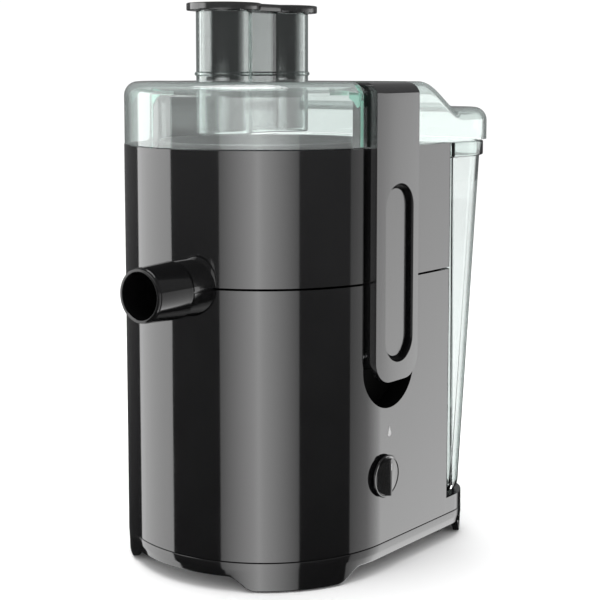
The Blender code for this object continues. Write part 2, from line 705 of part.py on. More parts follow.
def bracket(name, low, high, seat):
    """Square motor plate with vents, and a seat for its bearing round the shaft."""
    half = 40.0
    axis = (0.0, AXIS_Y, 0.0)
    plate = [(-half, AXIS_Y - half), (half, AXIS_Y - half), (half, AXIS_Y + half), (-half, AXIS_Y + half)]
    body = prism(name, plate, low, high, "grey_plastic")
    cuts = [rod("cut", 11.3, *seat, axis), rod("cut", 6.5, low - 5.0, high + 5.0, axis)]
    for sx, sy in ((1, 0), (-1, 0), (0, 1), (0, -1)):
        cuts.append(rod("cut", 6.0, low - 5.0, high + 5.0, (26.0 * sx, AXIS_Y + 26.0 * sy, 0.0), steps=12))
    return combine(body, cuts, "DIFFERENCE")


def strainer():
    """Spinning basket: hub, grating disc, mesh cone and rim."""
    axis = (0.0, AXIS_Y, 0.0)
    profile = [
        (0.0, 181.5), (8.2, 181.5), (8.2, 177.6), (11.0, 177.6), (13.0, 186.0), (46.0, 186.0),
        (46.0, 189.0), (8.0, 189.0), (8.0, 191.0), (0.0, 191.0),
    ]
    turned("strainer_hub", profile, axis, "grey_plastic")
    profile = [(8.6, 189.4), (40.0, 189.4), (40.0, 190.6), (8.6, 190.6)]
    turned("grating_disc", profile, axis, "steel")
    profile = [(44.0, 189.4), (45.0, 189.4), (59.0, 232.0), (58.0, 232.0)]
    turned("strainer_mesh", profile, axis, "steel")
    profile = [(56.6, 232.4), (60.4, 232.4), (62.6, 240.0), (62.6, 242.4), (60.8, 242.4), (58.8, 236.0)]
    turned("strainer_rim", profile, axis, "grey_plastic")


def main():
    for obj in list(bpy.data.objects):
        bpy.data.objects.remove(obj)
    base_cover()
    feet_and_screws()
    motor_housing()
    juice_collector()
    spout_nozzle()
    clear_lid()
    food_pusher()
    pulp_container()
    latch(1, "right")
    latch(-1, "left")
    control_knob()
    motor()
    strainer()


main()
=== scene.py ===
import json
import math

import bmesh
import bpy
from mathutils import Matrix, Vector


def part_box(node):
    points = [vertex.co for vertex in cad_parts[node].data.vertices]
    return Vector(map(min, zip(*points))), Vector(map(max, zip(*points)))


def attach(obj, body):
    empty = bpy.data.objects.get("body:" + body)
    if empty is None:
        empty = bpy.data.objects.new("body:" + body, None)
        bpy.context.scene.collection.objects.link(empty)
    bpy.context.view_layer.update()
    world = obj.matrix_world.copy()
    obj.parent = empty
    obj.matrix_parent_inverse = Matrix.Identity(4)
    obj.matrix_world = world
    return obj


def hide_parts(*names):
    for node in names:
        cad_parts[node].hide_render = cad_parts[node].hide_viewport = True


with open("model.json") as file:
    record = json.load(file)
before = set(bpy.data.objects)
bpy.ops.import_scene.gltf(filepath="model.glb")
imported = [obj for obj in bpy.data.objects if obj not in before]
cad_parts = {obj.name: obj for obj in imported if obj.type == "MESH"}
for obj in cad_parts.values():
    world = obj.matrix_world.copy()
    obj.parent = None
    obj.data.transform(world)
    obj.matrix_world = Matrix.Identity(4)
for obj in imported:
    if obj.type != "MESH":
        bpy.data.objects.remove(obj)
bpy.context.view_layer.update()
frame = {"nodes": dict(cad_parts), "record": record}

MM = 0.001
X, Y, Z = range(3)


def low_side(node, axis):
    """Lowest place of a CAD node along an axis, in millimetres."""
    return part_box(node)[0][axis] / MM


def high_side(node, axis):
    """Highest place of a CAD node along an axis, in millimetres."""
    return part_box(node)[1][axis] / MM


def middle(node, axis):
    return (low_side(node, axis) + high_side(node, axis)) / 2.0


# Places read from the frame, in millimetres
AXIS_Y = middle("motor_shaft", Y)
BODY_R = high_side("motor_housing", X)
LEDGE_REAR = high_side("motor_housing", Y) - AXIS_Y
HOUSING_LOW = low_side("motor_housing", Z)
COLLECTOR_HIGH = high_side("juice_collector", Z)
LID_LOW = COLLECTOR_HIGH + 0.6
PUSHER_TOP = high_side("food_pusher", Z)
CONTAINER_LOW = low_side("pulp_container", Z)
CONTAINER_TOP = high_side("pulp_container", Z)
CONTAINER_REAR = high_side("pulp_container", Y) - AXIS_Y
LATCH_OUT = high_side("latch_arm_right", X)
LATCH_LOW = low_side("latch_arm_right", Z)
LATCH_Y = middle("latch_arm_right", Y)
LATCH_HALF = high_side("latch_arm_right", Y) - LATCH_Y
KNOB_Y = middle("control_knob", Y)
KNOB_Z = middle("control_knob", Z)
SPOUT_X = middle("spout_nozzle", X)
SPOUT_Z = middle("spout_nozzle", Z)

# Design sizes, in millimetres
WALL = 2.6
BODY_REAR = 71.5
BODY_CORNER = 4.0
BASE_CORNER = 26.0
BASE_LOW = 8.5
BASE_TOP = 17.0
SKIRT_LOW = 0.8
LEDGE_TOP = 27.0
SEAM_MID = 166.4
SEAM_HALF = 0.6
DECK_Z = 146.0
BOWL_R = 65.5
BOWL_FLOOR = 152.0
SHAFT_HOLE_R = 17.0
HUB_HOLE_R = 9.0
POST_HOLLOW_R = 11.5
KNOB_HOLE_R = 5.4
SCREW_HOLE_R = 1.9
CORD_HOLE_R = 5.3
SPOUT_R = 14.15
SPOUT_BORE_R = 12.0
LID_TOP = 276.0
LID_REAR_TOP = 260.0
LID_REAR = 128.3
LID_WALL = 2.6
SLOPE_START = 46.0
SLOPE_END = 84.0
CHUTE_X = -10.0
LOBE_REACH = 25.8
LOBE_R = 21.2
NECK_X = 13.3
CHUTE_INSET = 5.3
CHUTE_WALL = 2.0
CHUTE_LOW = 246.0
CHUTE_BEAD = 280.2
CHUTE_TOP = 315.5
PUSHER_FLANGE = 315.8
CONTAINER_FRONT = 73.5
CONTAINER_FOOT = 102.0
CONTAINER_HALF = 80.0
CONTAINER_CORNER = 25.0
CONTAINER_BAND = 231.0
LATCH_TOP = 275.8
LATCH_BEND = 9.0
LATCH_CORNER = 13.0
LATCH_CROWN_R = 340.0
CHANNEL_HALF = 23.5
CHANNEL_X = 69.6
CHANNEL_LOW = 94.0
PIVOT_X = 78.0
PIVOT_Z = 126.0
PIVOT_R = 7.8
PIN_R = 2.0
HOOK_LEDGE = 271.5
SLOT_Y = LATCH_Y + 1.3
SLOT_Z = 170.6
SLOT_WIDE = 26.6
SLOT_LONG = 99.6
SLOT_DEEP = 5.6
PAD_SUNK = 3.4
KNOB_R = 12.1
GRIP_RISE = 5.4
MARK_R = 1.5
MARK_Z = 79.0
SPOUT_COLLAR_R = 15.2
SPOUT_COLLAR = 93.5
SPOUT_ROOT = 94.3
SPOUT_TIP = 119.2
SCREW_X = 55.0
SCREW_REACHES = (-20.0, 60.0)

ARC_STEPS = 144
CORNER_STEPS = 16
ROUND_STEPS = 96
LOBE_STEPS = 64
NECK_STEPS = 16


# ---------------------------------------------------------------- outlines

def y_at(reach):
    """World Y of a distance behind the spin axis."""
    return AXIS_Y + reach


def arc(cx, cy, radius, start, stop, steps):
    """Points along an arc, from one angle in degrees to another."""
    points = []
    for i in range(steps + 1):
        angle = math.radians(start + (stop - start) * i / steps)
        points.append((cx + radius * math.cos(angle), cy + radius * math.sin(angle)))
    return points


def smooth_step(value, low, high):
    t = min(max((value - low) / (high - low), 0.0), 1.0)
    return t * t * (3.0 - 2.0 * t)


def d_outline(inset, rear, corner):
    """Plan of the body: a round front, flat sides and a square back."""
    half = BODY_R - inset
    back = y_at(rear - inset)
    bend = max(corner - inset, 0.8)
    points = arc(0.0, AXIS_Y, half, 180.0, 360.0, ARC_STEPS)
    points += arc(half - bend, back - bend, bend, 0.0, 90.0, CORNER_STEPS)
    points += arc(bend - half, back - bend, bend, 90.0, 180.0, CORNER_STEPS)
    return points


def spaced(points, gap):
    """The same closed outline with extra points on its long straight sides."""
    dense = []
    for a, b in zip(points, points[1:] + points[:1]):
        count = max(1, math.ceil(math.dist(a, b) / gap))
        dense += [(a[0] + (b[0] - a[0]) * i / count, a[1] + (b[1] - a[1]) * i / count) for i in range(count)]
    return dense


def shrunk(points, inset):
    """The base outline moved inwards, point by point."""
    moved = []
    bend_y = y_at(LEDGE_REAR - BASE_CORNER)
    bend_x = BODY_R - BASE_CORNER
    for x, y in points:
        if y <= AXIS_Y:
            scale = 1.0 - inset / BODY_R
            moved.append((x * scale, AXIS_Y + (y - AXIS_Y) * scale))
        elif y > bend_y and abs(x) > bend_x:
            scale = 1.0 - inset / BASE_CORNER
            side = math.copysign(bend_x, x)
            moved.append((side + (x - side) * scale, bend_y + (y - bend_y) * scale))
        elif y > bend_y:
            moved.append((x, y - inset))
        else:
            moved.append((x - math.copysign(inset, x), y))
    return moved


def stadium(cx, cy, wide, long, steps=24):
    r = wide / 2.0
    rise = long / 2.0 - r
    return arc(cx, cy + rise, r, 0.0, 180.0, steps) + arc(cx, cy - rise, r, 180.0, 360.0, steps)


def bean(inset):
    """Plan of the pusher's flange and the chute: two round lobes with a neck hollow towards +X."""
    lobe = LOBE_R - inset
    neck = NECK_X - inset
    bend = max(1.5, inset - 2.3)
    turn = math.degrees(math.acos((neck + bend) / (lobe + bend)))
    lift = (lobe + bend) * math.sin(math.radians(turn))
    front = y_at(-LOBE_REACH)
    rear = y_at(LOBE_REACH)
    points = arc(CHUTE_X, rear, lobe, -turn, 180.0, LOBE_STEPS)
    points += arc(CHUTE_X, front, lobe, 180.0, 360.0 + turn, LOBE_STEPS)[:-1]
    points += arc(CHUTE_X + neck + bend, front + lift, bend, 180.0 + turn, 180.0, NECK_STEPS)
    points += arc(CHUTE_X + neck + bend, rear - lift, bend, 180.0, 180.0 - turn, NECK_STEPS)[:-1]
    return points


# ---------------------------------------------------------------- mesh helpers

def new_object(name, bm):
    bmesh.ops.recalc_face_normals(bm, faces=bm.faces)
    mesh = bpy.data.meshes.new(name)
    bm.to_mesh(mesh)
    bm.free()
    obj = bpy.data.objects.new(name, mesh)
    bpy.context.scene.collection.objects.link(obj)
    return obj


def loft(name, rings):
    """A closed solid through rings of equal length, capped at both ends."""
    bm = bmesh.new()
    rows = [[bm.verts.new([c * MM for c in p]) for p in ring] for ring in rings]
    count = len(rows[0])
    for low, high in zip(rows, rows[1:]):
        for i in range(count):
            j = (i + 1) % count
            bm.faces.new((low[i], low[j], high[j], high[i]))
    bm.faces.new(rows[0][::-1])
    bm.faces.new(rows[-1])
    return new_object(name, bm)


def prism(name, outline, low, high, axis="Z"):
    place = {
        "Z": lambda p, h: (p[0], p[1], h),
        "X": lambda p, h: (h, p[0], p[1]),
        "Y": lambda p, h: (p[0], h, p[1]),
    }[axis]
    return loft(name, [[place(p, h) for p in outline] for h in (low, high)])


def turned(name, profile, centre, axis="Z", steps=ROUND_STEPS):
    """A turned solid, or a ring where the profile stays off the axis."""
    bm = bmesh.new()
    rows = []
    for radius, height in profile:
        row = []
        for i in range(steps):
            angle = 2.0 * math.pi * i / steps
            u = radius * math.cos(angle)
            v = radius * math.sin(angle)
            point = {"Z": (u, v, height), "X": (height, u, v), "Y": (v, height, u)}[axis]
            row.append(bm.verts.new([(a + b) * MM for a, b in zip(point, centre)]))
            if radius == 0.0:
                row = row * steps
                break
        rows.append(row)
    ring = profile[0][0] > 0.0 and profile[-1][0] > 0.0
    pairs = list(zip(rows, rows[1:])) + ([(rows[-1], rows[0])] if ring else [])
    for low, high in pairs:
        for i in range(steps):
            j = (i + 1) % steps
            corners = list(dict.fromkeys((low[i], low[j], high[j], high[i])))
            if len(corners) > 2:
                bm.faces.new(corners)
    return new_object(name, bm)


def rod(name, radius, low, high, centre, axis="Z", steps=48):
    return turned(name, [(0.0, low), (radius, low), (radius, high), (0.0, high)], centre, axis, steps)


def applied(obj):
    """The object with its modifiers turned into mesh."""
    bpy.context.view_layer.update()
    graph = bpy.context.evaluated_depsgraph_get()
    mesh = bpy.data.meshes.new_from_object(obj.evaluated_get(graph))
    obj.modifiers.clear()
    old = obj.data
    obj.data = mesh
    bpy.data.meshes.remove(old)
    return obj


def combine(target, tools, operation):
    """Exact Booleans one after another; the tools are removed."""
    for tool in tools:
        cut = target.modifiers.new(operation, "BOOLEAN")
        cut.operation = operation
        cut.solver = "EXACT"
        cut.object = tool
        applied(target)
        bpy.data.objects.remove(tool)
        bm = bmesh.new()
        bm.from_mesh(target.data)
        bmesh.ops.remove_doubles(bm, verts=bm.verts, dist=0.005 * MM)
        bmesh.ops.dissolve_degenerate(bm, edges=bm.edges, dist=0.005 * MM)
        bm.to_mesh(target.data)
        bm.free()
    return target


def rounded(obj, width, segments=3, limit=35.0, clamp=True):
    """Rounds the edges that are sharper than the limit."""
    edge = obj.modifiers.new("edge", "BEVEL")
    edge.width = width * MM
    edge.segments = segments
    edge.limit_method = "ANGLE"
    edge.angle_limit = math.radians(limit)
    edge.use_clamp_overlap = clamp
    edge.miter_outer = "MITER_ARC"
    return applied(obj)


def shaded(obj, sharp=30.0, weighted=True):
    """Smooth shading with sharp edges kept."""
    obj.data.shade_smooth()
    obj.data.set_sharp_from_angle(angle=math.radians(sharp))
    if weighted:
        normals = obj.modifiers.new("normals", "WEIGHTED_NORMAL")
        normals.keep_sharp = True
        normals.weight = 60
    return obj


# ---------------------------------------------------------------- materials

def shader_tree(name):
    made = bpy.data.materials.new(name)
    made.use_nodes = True
    tree = made.node_tree
    return made, tree, tree.nodes["Principled BSDF"]


def noise_field(tree, scale, detail=2.0, stretch=(1.0, 1.0, 1.0)):
    coords = tree.nodes.new("ShaderNodeTexCoord")
    mapping = tree.nodes.new("ShaderNodeMapping")
    mapping.inputs["Scale"].default_value = stretch
    noise = tree.nodes.new("ShaderNodeTexNoise")
    noise.inputs["Scale"].default_value = scale
    noise.inputs["Detail"].default_value = detail
    tree.links.new(coords.outputs["Object"], mapping.inputs["Vector"])
    tree.links.new(mapping.outputs["Vector"], noise.inputs["Vector"])
    return noise.outputs["Fac"]


def ranged(tree, source, low, high):
    """The noise value spread between two limits."""
    node = tree.nodes.new("ShaderNodeMapRange")
    node.inputs["From Min"].default_value = 0.3
    node.inputs["From Max"].default_value = 0.7
    node.inputs["To Min"].default_value = low
    node.inputs["To Max"].default_value = high
    tree.links.new(source, node.inputs["Value"])
    return node.outputs["Result"]


def two_tone(tree, source, dark, light):
    ramp = tree.nodes.new("ShaderNodeValToRGB")
    ramp.color_ramp.elements[0].position = 0.35
    ramp.color_ramp.elements[0].color = (*dark, 1.0)
    ramp.color_ramp.elements[1].position = 0.65
    ramp.color_ramp.elements[1].color = (*light, 1.0)
    tree.links.new(source, ramp.inputs["Fac"])
    return ramp.outputs["Color"]


def bump(tree, shader, source, strength, distance):
    node = tree.nodes.new("ShaderNodeBump")
    node.inputs["Strength"].default_value = strength
    node.inputs["Distance"].default_value = distance * MM
    tree.links.new(source, node.inputs["Height"])
    tree.links.new(node.outputs["Normal"], shader.inputs["Normal"])


def plastic(name, dark, light, rough, spread, grain=900.0, depth=0.01, ior=1.8, skin=True):
    """Moulded plastic: slight colour and gloss variation and a fine skin."""
    made, tree, shader = shader_tree(name)
    broad = noise_field(tree, 25.0)
    tree.links.new(two_tone(tree, broad, dark, light), shader.inputs["Base Color"])
    tree.links.new(ranged(tree, broad, rough - spread, rough + spread), shader.inputs["Roughness"])
    shader.inputs["IOR"].default_value = ior
    if skin:
        bump(tree, shader, noise_field(tree, grain, 3.0), 0.12, depth)
    return made


def metal(name, dark, light, rough, spread, stretch, grain=500.0):
    made, tree, shader = shader_tree(name)
    lines = noise_field(tree, grain, 4.0, stretch)
    tree.links.new(two_tone(tree, lines, dark, light), shader.inputs["Base Color"])
    tree.links.new(ranged(tree, lines, rough - spread, rough + spread), shader.inputs["Roughness"])
    shader.inputs["Metallic"].default_value = 1.0
    bump(tree, shader, lines, 0.15, 0.02)
    return made


def clear_plastic(name, colour, tint, density, haze=0.0, haze_top=0.0):
    """Clear moulded plastic: green where light runs along the wall, a little cloudy below haze_top."""
    made, tree, shader = shader_tree(name)
    broad = noise_field(tree, 30.0)
    tree.links.new(ranged(tree, broad, 0.0, 0.008), shader.inputs["Roughness"])
    shader.inputs["Base Color"].default_value = (*colour, 1.0)
    shader.inputs["Transmission Weight"].default_value = 1.0
    shader.inputs["IOR"].default_value = 1.6
    if haze > 0.0:
        coords = tree.nodes.new("ShaderNodeTexCoord")
        split = tree.nodes.new("ShaderNodeSeparateXYZ")
        clarity = tree.nodes.new("ShaderNodeMapRange")
        clarity.inputs["From Min"].default_value = (haze_top - 0.5) * MM
        clarity.inputs["From Max"].default_value = (haze_top + 0.5) * MM
        clarity.inputs["To Min"].default_value = 1.0 - haze
        clarity.inputs["To Max"].default_value = 1.0
        tree.links.new(coords.outputs["Object"], split.inputs["Vector"])
        tree.links.new(split.outputs["Z"], clarity.inputs["Value"])
        tree.links.new(clarity.outputs["Result"], shader.inputs["Transmission Weight"])
    absorb = tree.nodes.new("ShaderNodeVolumeAbsorption")
    absorb.inputs["Color"].default_value = (*tint, 1.0)
    absorb.inputs["Density"].default_value = density
    output = tree.nodes["Material Output"]
    tree.links.new(absorb.outputs["Volume"], output.inputs["Volume"])
    return made


MATERIALS = {
    "housing_black": plastic("housing_black", (0.0040, 0.0040, 0.0042), (0.0055, 0.0055, 0.0057),
                             0.07, 0.012),
    "latch_black": plastic("latch_black", (0.0045, 0.0045, 0.0047), (0.006, 0.006, 0.0062), 0.13, 0.015),
    "pusher_grey": plastic("pusher_grey", (0.012, 0.0125, 0.0125), (0.016, 0.0165, 0.0165), 0.08, 0.015,
                           skin=False),
    "knob_black": plastic("knob_black", (0.005, 0.005, 0.005), (0.008, 0.008, 0.008), 0.12, 0.02),
    "inner_plastic": plastic("inner_plastic", (0.025, 0.026, 0.027), (0.04, 0.041, 0.042), 0.35, 0.05,
                             depth=0.03),
    "clear_plastic": clear_plastic("clear_plastic", (0.90, 0.895, 0.90), (0.15, 0.50, 0.38), 55.0),
    "steel_bright": metal("steel_bright", (0.50, 0.50, 0.51), (0.66, 0.66, 0.67), 0.26, 0.06,
                          (1.0, 1.0, 0.06)),
    "steel_core": metal("steel_core", (0.20, 0.21, 0.22), (0.34, 0.35, 0.37), 0.42, 0.06,
                        (0.05, 0.05, 6.0)),
    "copper": metal("copper", (0.52, 0.22, 0.10), (0.74, 0.38, 0.20), 0.33, 0.06, (0.2, 0.2, 5.0)),
    "brass": metal("brass", (0.58, 0.43, 0.18), (0.74, 0.58, 0.28), 0.3, 0.05, (1.0, 0.1, 1.0)),
    "rubber": plastic("rubber", (0.010, 0.010, 0.010), (0.018, 0.018, 0.018), 0.62, 0.08, depth=0.05),
}
# Painted glow: opaque green standing in for the light that leaves the clear lid's cut edges.
PAINTED_EDGE_GLOW = plastic("painted_green_edge_glow", (0.20, 0.52, 0.41), (0.26, 0.60, 0.48), 0.12, 0.03, skin=False)
CLEAR_LID = clear_plastic("clear_lid_plastic", (0.97, 0.97, 0.97), (0.20, 0.70, 0.55), 45.0,
                          haze=0.06, haze_top=LID_TOP + 0.8)
SPOUT = plastic("spout_black", (0.0030, 0.0030, 0.0032), (0.0042, 0.0042, 0.0044), 0.08, 0.012, ior=1.5)
MARK = plastic("printed_mark", (0.36, 0.36, 0.36), (0.42, 0.42, 0.42), 0.4, 0.05)
# Painted shade: a darker matte black for the latch channels' inner faces, in place of the shade inside them.
RECESS_SHADE = plastic("recess_painted_shade", (0.0018, 0.0018, 0.0018), (0.0025, 0.0025, 0.0025), 0.75, 0.05, ior=1.15)


def dress(obj, slot, body, *nodes, material=None):
    """Gives a piece its finish, its body and the CAD nodes that it stands for."""
    obj.data.materials.clear()
    obj.data.materials.append(material or MATERIALS[slot])
    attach(obj, body)
    if nodes:
        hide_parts(*nodes)
    return obj


# ---------------------------------------------------------------- housing

def channel_outline(half, low):
    """Side view of a latch channel, round at its lower end."""
    points = arc(LATCH_Y, low + half, half, 180.0, 360.0, 48)
    return points + [(LATCH_Y + half, 260.0), (LATCH_Y - half, 260.0)]


def channel_cut(side, spread):
    outline = channel_outline(CHANNEL_HALF + spread, CHANNEL_LOW - spread)
    inner = side * (CHANNEL_X - spread)
    low, high = sorted((inner, side * 100.0))
    return prism("cut", outline, low, high, axis="X")


def pin_rod(name, side, radius, extra):
    half = CHANNEL_HALF + 2.3 + extra
    return rod(name, radius, -half, half, (side * PIVOT_X, LATCH_Y, PIVOT_Z), "Y", 32)


def true_walls(shell):
    """Exact normals on the outer wall, so that its reflections run without a break."""
    applied(shell)
    mesh = shell.data
    normals = [corner.vector.copy() for corner in mesh.corner_normals]
    for face in mesh.polygons:
        if abs(face.normal.z) > 0.05:
            continue
        for index in face.loop_indices:
            x, y, _ = mesh.vertices[mesh.loops[index].vertex_index].co / MM
            if y < AXIS_Y and abs(math.hypot(x, y - AXIS_Y) - BODY_R) < 0.04:
                radial = Vector((x, y - AXIS_Y, 0.0)).normalized()
                if radial.dot(face.normal) > 0.9:
                    normals[index] = radial
            elif y >= AXIS_Y and abs(abs(face.normal.x) - 1.0) < 0.001:
                normals[index] = face.normal.copy()
    mesh.normals_split_custom_set(normals)
    return shell


def paint_recess_shade(shell):
    """Painted shade: darker, matte black on the faces inside the latch channels, standing in for the shade
    there.
    """
    shell.data.materials.append(RECESS_SHADE)
    for face in shell.data.polygons:
        x, y, z = [c / MM for c in face.center]
        wall = math.hypot(x, min(y - AXIS_Y, 0.0)) > BODY_R - 0.6
        if abs(x) > CHANNEL_X - 0.5 and not wall and abs(y - LATCH_Y) < CHANNEL_HALF + 0.2:
            if CHANNEL_LOW - 0.2 < z < COLLECTOR_HIGH - 0.6 and abs(z - SEAM_MID) > 1.0:
                face.material_index = 1


def make_housing():
    """Lower shell with its ledge, deck, latch channels and the notch for the spout."""
    low = HOUSING_LOW
    high = SEAM_MID - SEAM_HALF
    shell = prism("housing_shell", d_outline(0.0, BODY_REAR, BODY_CORNER), low, high)
    ledge = prism("ledge", d_outline(0.05, LEDGE_REAR, BASE_CORNER), low, LEDGE_TOP)
    combine(shell, [ledge], "UNION")
    cavity = prism("cut", d_outline(WALL, BODY_REAR, BODY_CORNER), low - 5.0, DECK_Z - WALL)
    under = prism("cut", d_outline(WALL, LEDGE_REAR, BASE_CORNER), low - 5.0, LEDGE_TOP - WALL)
    combine(cavity, [under], "UNION")
    combine(cavity, [channel_cut(side, WALL) for side in (-1, 1)], "DIFFERENCE")
    well = prism("cut", d_outline(WALL, BODY_REAR, BODY_CORNER), DECK_Z, high + 5.0)
    combine(well, [channel_cut(side, WALL) for side in (-1, 1)], "DIFFERENCE")
    cuts = [cavity, well] + [channel_cut(side, 0.0) for side in (-1, 1)]
    cuts.append(rod("cut", SHAFT_HOLE_R, DECK_Z - 10.0, DECK_Z + 10.0, (0.0, AXIS_Y, 0.0)))
    notch_r = SPOUT_COLLAR_R + 0.4
    cuts.append(rod("cut", notch_r, y_at(-100.0), y_at(-70.0), (SPOUT_X, 0.0, SEAM_MID), "Y", 96))
    cuts += [pin_rod("cut", side, PIN_R + 0.25, 0.4) for side in (-1, 1)]
    cuts.append(rod("cut", KNOB_HOLE_R, 60.0, 100.0, (0.0, KNOB_Y, KNOB_Z), "X"))
    combine(shell, cuts, "DIFFERENCE")
    rounded(shell, 0.35, 3)
    dress(true_walls(shaded(shell)), "housing_black", "root", "motor_housing")
    paint_recess_shade(shell)


def make_collector():
    """Upper shell with the bowl and the outlet tube."""
    low = SEAM_MID + SEAM_HALF
    high = COLLECTOR_HIGH
    axis = (0.0, AXIS_Y, 0.0)
    waist = BOWL_R - 2.2
    shell = prism("collector_shell", d_outline(0.0, BODY_REAR, BODY_CORNER), low, high)
    hollow = prism("cut", d_outline(WALL, BODY_REAR, BODY_CORNER), low - 5.0, high - WALL)
    combine(hollow, [channel_cut(side, WALL) for side in (-1, 1)], "DIFFERENCE")
    combine(shell, [hollow] + [channel_cut(side, 0.0) for side in (-1, 1)], "DIFFERENCE")
    bowl = turned(
        "bowl",
        [(0.0, BOWL_FLOOR - WALL), (waist, BOWL_FLOOR - WALL), (waist + WALL, BOWL_FLOOR),
         (waist + WALL, low), (BOWL_R + WALL, low + 3.0), (BOWL_R + WALL, high - 1.0), (0.0, high - 1.0)],
        axis,
    )
    tube = [(0.0, -101.4), (SPOUT_R, -101.4), (SPOUT_R, -SPOUT_COLLAR), (SPOUT_COLLAR_R, -SPOUT_COLLAR),
            (SPOUT_COLLAR_R, -50.0), (0.0, -50.0)]
    outlet = turned("outlet", tube, (SPOUT_X, AXIS_Y, SPOUT_Z), "Y")
    combine(shell, [bowl, outlet], "UNION")
    room = turned(
        "cut",
        [(0.0, 176.0), (15.0, 176.0), (19.0, BOWL_FLOOR + 3.0), (24.0, BOWL_FLOOR), (waist - 4.0, BOWL_FLOOR),
         (waist, BOWL_FLOOR + 5.0), (waist, low), (BOWL_R, low + 3.0), (BOWL_R, 300.0), (0.0, 300.0)],
        axis,
    )
    cuts = [room, rod("cut", SPOUT_BORE_R, y_at(-130.0), y_at(-56.0), (SPOUT_X, 0.0, SEAM_MID), "Y", 72)]
    cuts += [rod("cut", HUB_HOLE_R, 140.0, 200.0, axis), rod("cut", POST_HOLLOW_R, 140.0, 172.0, axis)]
    for side in (-1, 1):
        ends = sorted((SPOUT_X + side * (SPOUT_COLLAR_R - 0.8), SPOUT_X + side * 17.0))
        groove = [(y_at(-95.0), SEAM_MID - 0.5), (y_at(-70.0), SEAM_MID - 0.5), (y_at(-70.0), SEAM_MID + 0.5),
                  (y_at(-95.0), SEAM_MID + 0.5)]
        cuts.append(prism("cut", groove, ends[0], ends[1], "X"))
    combine(shell, cuts, "DIFFERENCE")
    rounded(shell, 0.35, 3)
    dress(true_walls(shaded(shell)), "housing_black", "root", "juice_collector")
    paint_recess_shade(shell)


def skirt_height(x, y):
    """Height of the base's lower edge: low at the four foot skirts, high between them."""
    angle = math.degrees(math.atan2(abs(x), AXIS_Y - y))
    front = smooth_step(angle, 24.0, 34.5) * (1.0 - smooth_step(angle, 68.0, 79.0))
    past = y - y_at(LEDGE_REAR - BASE_CORNER)
    rear = smooth_step(past, 7.0, 12.0) * smooth_step(abs(x), 40.0, 54.0)
    return BASE_LOW - (BASE_LOW - SKIRT_LOW) * max(front, rear)


def make_base():
    """Base tray with its four foot skirts."""
    outer = spaced(d_outline(0.0, LEDGE_REAR, BASE_CORNER), 1.5)
    edge = [skirt_height(x, y) for x, y in outer]
    rings = [[(x, y, 10.2) for x, y in shrunk(outer, 4.6)]]
    for inset, rise in ((4.6, 0.5), (4.1, 0.0), (1.4, 0.0), (0.8, 0.3), (0.55, 0.9)):
        rings.append([(x, y, z + rise) for (x, y), z in zip(shrunk(outer, inset), edge)])
    for inset, z in ((0.15, 12.2), (0.0, 13.2), (0.0, BASE_TOP - 0.5), (0.15, BASE_TOP - 0.15),
                     (0.5, BASE_TOP), (3.0, BASE_TOP), (3.0, 12.8)):
        rings.append([(x, y, z) for x, y in shrunk(outer, inset)])
    base = loft("base_tray", rings)
    places = [(side * SCREW_X, y_at(reach)) for side in (-1, 1) for reach in SCREW_REACHES]
    holes = [rod("cut", SCREW_HOLE_R, 5.0, 15.0, (x, y, 0.0), steps=24) for x, y in places]
    holes.append(rod("cut", CORD_HOLE_R, 5.0, 15.0, (0.0, y_at(LEDGE_REAR - 16.0), 0.0)))
    combine(base, holes, "DIFFERENCE")
    return dress(shaded(base), "housing_black", "root", "base_cover")


def make_feet():
    for i in range(1, 5):
        centre = (middle(f"rubber_foot_{i}", X), middle(f"rubber_foot_{i}", Y), 0.0)
        profile = [(0.0, 0.6), (3.4, 0.6), (3.8, 0.1), (5.6, 0.0), (6.3, 0.25), (6.9, 1.0), (7.0, 2.0),
                   (7.0, 9.9), (0.0, 9.9)]
        foot = turned(f"foot_pad_{i}", profile, centre, steps=48)
        dress(shaded(foot), "rubber", "root", f"rubber_foot_{i}")


def make_nozzle():
    """Spout sleeve with a small lip at the root and a thin rim at the tip."""
    step = -SPOUT_ROOT
    tip = -SPOUT_TIP
    socket = step - 8.0
    profile = [
        (SPOUT_R + 0.3, step), (15.1, step), (15.6, step - 0.3), (15.7, step - 0.8), (15.6, step - 1.5),
        (15.5, step - 4.0), (14.6, tip + 2.0), (14.45, tip + 1.8), (14.3, tip + 1.5), (14.4, tip + 1.2),
        (14.45, tip + 0.8), (14.3, tip + 0.25), (13.9, tip), (12.8, tip), (12.55, tip + 0.3),
        (12.45, tip + 1.0), (12.4, tip + 3.0), (12.4, socket), (SPOUT_R + 0.3, socket),
    ]
    nozzle = turned("spout_sleeve", profile, (SPOUT_X, AXIS_Y, SPOUT_Z), "Y", 144)
    return dress(shaded(nozzle, 40.0), "housing_black", "root", "spout_nozzle", material=SPOUT)


# ---------------------------------------------------------------- clear parts

def lid_height(reach, drop):
    """Height of the lid's top at a distance behind the spin axis."""
    return LID_TOP - drop - (LID_TOP - LID_REAR_TOP) * smooth_step(reach, SLOPE_START, SLOPE_END)


def lid_half(inset):
    """Right half of the lid's plan, from the front middle to the rear corner."""
    half = BODY_R - inset
    bend = max(BASE_CORNER - inset, 0.8)
    back = y_at(LID_REAR - inset)
    steps = 56
    points = arc(0.0, AXIS_Y, half, 270.0, 360.0, ARC_STEPS // 2)
    points += [(half, AXIS_Y + (back - bend - AXIS_Y) * i / steps) for i in range(1, steps)]
    return points + arc(half - bend, back - bend, bend, 0.0, 90.0, CORNER_STEPS)


